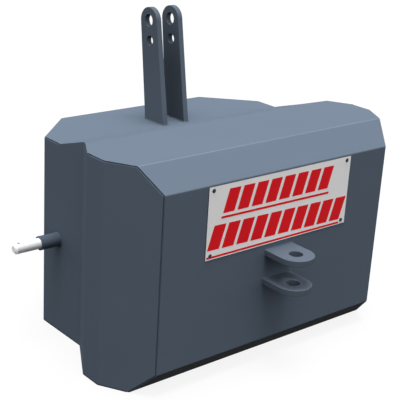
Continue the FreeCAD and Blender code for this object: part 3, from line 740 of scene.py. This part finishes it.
def build_bar_tree():
    """A row of slanted bars of film with small round corners, standing in the XZ plane."""
    tree, given, result = geometry_tree("film_bars", [
        ("Width", "NodeSocketFloat"),
        ("Height", "NodeSocketFloat"),
        ("Slant", "NodeSocketFloat"),
        ("Corner", "NodeSocketFloat"),
        ("Thickness", "NodeSocketFloat"),
        ("Count", "NodeSocketInt"),
        ("Step", "NodeSocketVector"),
        ("Finish", "NodeSocketMaterial"),
    ])
    outline = add_node(tree, "GeometryNodeCurvePrimitiveQuadrilateral", {
        "Width": given["Width"],
        "Height": given["Height"],
        "Offset": given["Slant"],
    }, mode="PARALLELOGRAM")
    rounded = add_node(tree, "GeometryNodeFilletCurve", {
        "Curve": outline.outputs["Curve"],
        "Count": CORNER_POINTS,
        "Radius": given["Corner"],
    }, mode="POLY")
    face = add_node(tree, "GeometryNodeFillCurve", {"Curve": rounded.outputs["Curve"]}, mode="NGONS")
    raised = add_node(tree, "GeometryNodeExtrudeMesh", {
        "Mesh": face.outputs["Mesh"],
        "Offset Scale": given["Thickness"],
        "Individual": False,
    }, mode="FACES")
    back = add_node(tree, "GeometryNodeFlipFaces", {"Mesh": face.outputs["Mesh"]})
    whole = tree.nodes.new("GeometryNodeJoinGeometry")
    for form in (raised, back):
        feed(tree, whole.inputs["Geometry"], form.outputs["Mesh"])
    closed = add_node(tree, "GeometryNodeMergeByDistance", {
        "Geometry": whole.outputs["Geometry"],
        "Distance": FILM_WELD,
    })
    bar = add_node(tree, "GeometryNodeTransform", {
        "Geometry": closed.outputs["Geometry"],
        "Rotation": UPRIGHT,
    })
    row = add_node(tree, "GeometryNodeMeshLine", {
        "Count": given["Count"],
        "Offset": given["Step"],
    }, mode="OFFSET")
    laid = add_node(tree, "GeometryNodeInstanceOnPoints", {
        "Points": row.outputs["Mesh"],
        "Instance": bar.outputs["Geometry"],
    })
    finish_tree(tree, given, result, laid.outputs["Instances"])
    return tree


def edges_bare_and_shaded(material):
    """Darken the sheet's cut edges, partly bare metal and partly painted shade: all that doesn't face
    forward or back.
    """
    tree = material.node_tree
    ahead = maths(tree, "ABSOLUTE", surface_facing(tree)["Y"])
    lay_colour(material, CUT_EDGE_AND_SHADE, maths(tree, "LESS_THAN", ahead, FACING_AHEAD))


BAR_TREE = build_bar_tree()
board_coat = surface("sign_coat", SPRAYED_COAT, BOARD, {"Specular IOR Level": SIGN_GLOSS})
edges_bare_and_shaded(board_coat)
red_film = surface("red_film", SPRAYED_COAT, FILM, {"Specular IOR Level": SIGN_GLOSS})
rivet_paint = surface("rivet_paint", SPRAYED_COAT, RIVET_PAINT, {"Specular IOR Level": RIVET_GLOSS})
coat("sign_plate", board_coat)
sign_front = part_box("sign_plate")[0].y
rivets_low, rivets_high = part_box("sign_rivets")
rivet_places = [(x, sign_front, z)
                for x in (rivets_low.x + RIVET_HEAD_RADIUS, rivets_high.x - RIVET_HEAD_RADIUS)
                for z in (rivets_low.z + RIVET_HEAD_RADIUS, rivets_high.z - RIVET_HEAD_RADIUS)]
rivet_points = bpy.data.meshes.new("rivet_points")
rivet_points.from_pydata(rivet_places, [], [])
blind_rivets = grow("blind_rivets", rivet_points, build_rivet_tree(), {"Finish": rivet_paint})
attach(blind_rivets, "root")
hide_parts("sign_rivets")


def film(name, width, height, slant, corner, count, step, middle, tilt):
    """One row of film bars, turned by the row's tilt and laid on the sign."""
    row = grow(name, bpy.data.meshes.new(name + "_seed"), BAR_TREE, {
        "Width": width,
        "Height": height,
        "Slant": slant,
        "Corner": corner,
        "Thickness": FILM_THICKNESS,
        "Count": count,
        "Step": (step, 0.0, 0.0),
        "Finish": red_film,
    })
    centre = Vector(((count - 1) * step / 2, 0.0, 0.0))
    turn = Euler((0.0, -math.radians(tilt), 0.0)).to_matrix()
    for vertex in row.data.vertices:
        vertex.co = turn @ (vertex.co - centre) + middle
    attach(row, "root")


for number, bars in enumerate(BAR_ROWS, start=1):
    slant = bars["height"] * BAR_SLANT
    reach = (bars["right"] - bars["left"] - bars["width"] - slant) * MM
    middle = Vector(((bars["left"] + bars["right"]) / 2 * MM, sign_front, bars["level"] * MM))
    film(f"film_bars_{number}", bars["width"] * MM, bars["height"] * MM, slant * MM, BAR_CORNER,
         bars["count"], reach / (bars["count"] - 1), middle, bars["tilt"])
for number, line in enumerate(ROW_LINES, start=1):
    length = line["right"] - line["left"]
    tilt = math.degrees(math.atan2(line["level_right"] - line["level_left"], length))
    level = (line["level_left"] + line["level_right"]) / 2 * MM
    middle = Vector(((line["left"] + line["right"]) / 2 * MM, sign_front, level))
    film(f"film_line_{number}", length * MM, line["height"] * MM, 0.0,
         line["height"] * MM * LINE_CORNER_SHARE, 1, 0.0, middle, tilt)


# Floor, light and camera
# A pale floor that shows white with a soft shadow, a dome of soft light that is strongest overhead,
# and the photograph's viewpoint.

FLOOR_HALF = 40.0
FLOOR_DROP = 0.4 * MM
FLOOR_SEEN = (0.06, 0.06, 0.06, 1.0)
FLOOR_BOUNCE = (0.012, 0.012, 0.012, 1.0)
FLOOR_GLOW = 0.88
WHITE = (1.0, 1.0, 1.0, 1.0)
DOME_EVEN = 1.23
DOME_OVERHEAD = 29.6
DOME_NARROWNESS = 27.0
DOME_TOWARDS = (-0.02, -0.06, 1.0)
CAMERA_PLACE = (-2.24386, -2.74290, 1.69315)
CAMERA_TURN = (69.783, -3.243, -39.770)
CAMERA_LENS = 93.894
CAMERA_SENSOR = 36.0
CAMERA_FAR = 200.0


def seen_directly(tree):
    """One for camera, glossy and transmission rays, and nought for the rays that light things."""
    path = tree.nodes.new("ShaderNodeLightPath").outputs
    looked_at = maths(tree, "MAXIMUM", path["Is Camera Ray"], path["Is Glossy Ray"])
    return maths(tree, "MAXIMUM", looked_at, path["Is Transmission Ray"])


def build_floor():
    """A wide plane, pale to the eye and dim as a reflector of light."""
    mesh = bpy.data.meshes.new("studio_floor")
    corners = [(x, y, -FLOOR_DROP) for x, y in
               ((-FLOOR_HALF, -FLOOR_HALF), (FLOOR_HALF, -FLOOR_HALF),
                (FLOOR_HALF, FLOOR_HALF), (-FLOOR_HALF, FLOOR_HALF))]
    mesh.from_pydata(corners, [], [(0, 1, 2, 3)])
    floor = bpy.data.objects.new("studio_floor", mesh)
    bpy.context.scene.collection.objects.link(floor)
    material = bpy.data.materials.new("studio_floor")
    material.use_nodes = True
    tree = material.node_tree
    tree.nodes.clear()
    dim = add_node(tree, "ShaderNodeBsdfDiffuse", {"Color": FLOOR_BOUNCE})
    pale = add_node(tree, "ShaderNodeBsdfDiffuse", {"Color": FLOOR_SEEN})
    glow = add_node(tree, "ShaderNodeEmission", {"Strength": FLOOR_GLOW})
    lit = add_node(tree, "ShaderNodeAddShader", {0: pale.outputs["BSDF"], 1: glow.outputs["Emission"]})
    chosen = add_node(tree, "ShaderNodeMixShader", {
        "Fac": seen_directly(tree),
        1: dim.outputs["BSDF"],
        2: lit.outputs["Shader"],
    })
    add_node(tree, "ShaderNodeOutputMaterial", {"Surface": chosen.outputs["Shader"]})
    mesh.materials.append(material)


def build_dome():
    """White where it is looked at, and a soft overhead dome for the light that it gives."""
    world = bpy.data.worlds.new("studio_dome")
    bpy.context.scene.world = world
    world.use_nodes = True
    tree = world.node_tree
    tree.nodes.clear()
    towards = add_node(tree, "ShaderNodeVectorMath", {
        0: tree.nodes.new("ShaderNodeTexCoord").outputs["Generated"],
        1: Vector(DOME_TOWARDS).normalized(),
    }, operation="DOT_PRODUCT")
    facing = maths(tree, "MAXIMUM", towards.outputs["Value"], 0.0)
    falloff = maths(tree, "POWER", facing, DOME_NARROWNESS)
    level = maths(tree, "MULTIPLY_ADD", falloff, DOME_OVERHEAD, DOME_EVEN)
    light = add_node(tree, "ShaderNodeBackground", {"Strength": level})
    white = add_node(tree, "ShaderNodeBackground", {"Color": WHITE})
    chosen = add_node(tree, "ShaderNodeMixShader", {
        "Fac": seen_directly(tree),
        1: light.outputs["Background"],
        2: white.outputs["Background"],
    })
    add_node(tree, "ShaderNodeOutputWorld", {"Surface": chosen.outputs["Shader"]})


def build_camera():
    """The photograph's viewpoint, worked out from the edges of the box."""
    lens = bpy.data.cameras.new("photo_view")
    lens.lens = CAMERA_LENS
    lens.sensor_width = CAMERA_SENSOR
    lens.clip_end = CAMERA_FAR
    view = bpy.data.objects.new("photo_view", lens)
    view.location = CAMERA_PLACE
    view.rotation_euler = [math.radians(angle) for angle in CAMERA_TURN]
    bpy.context.scene.collection.objects.link(view)
    bpy.context.scene.camera = view


build_floor()
build_dome()
build_camera()
bpy.context.scene.view_settings.view_transform = "Standard"
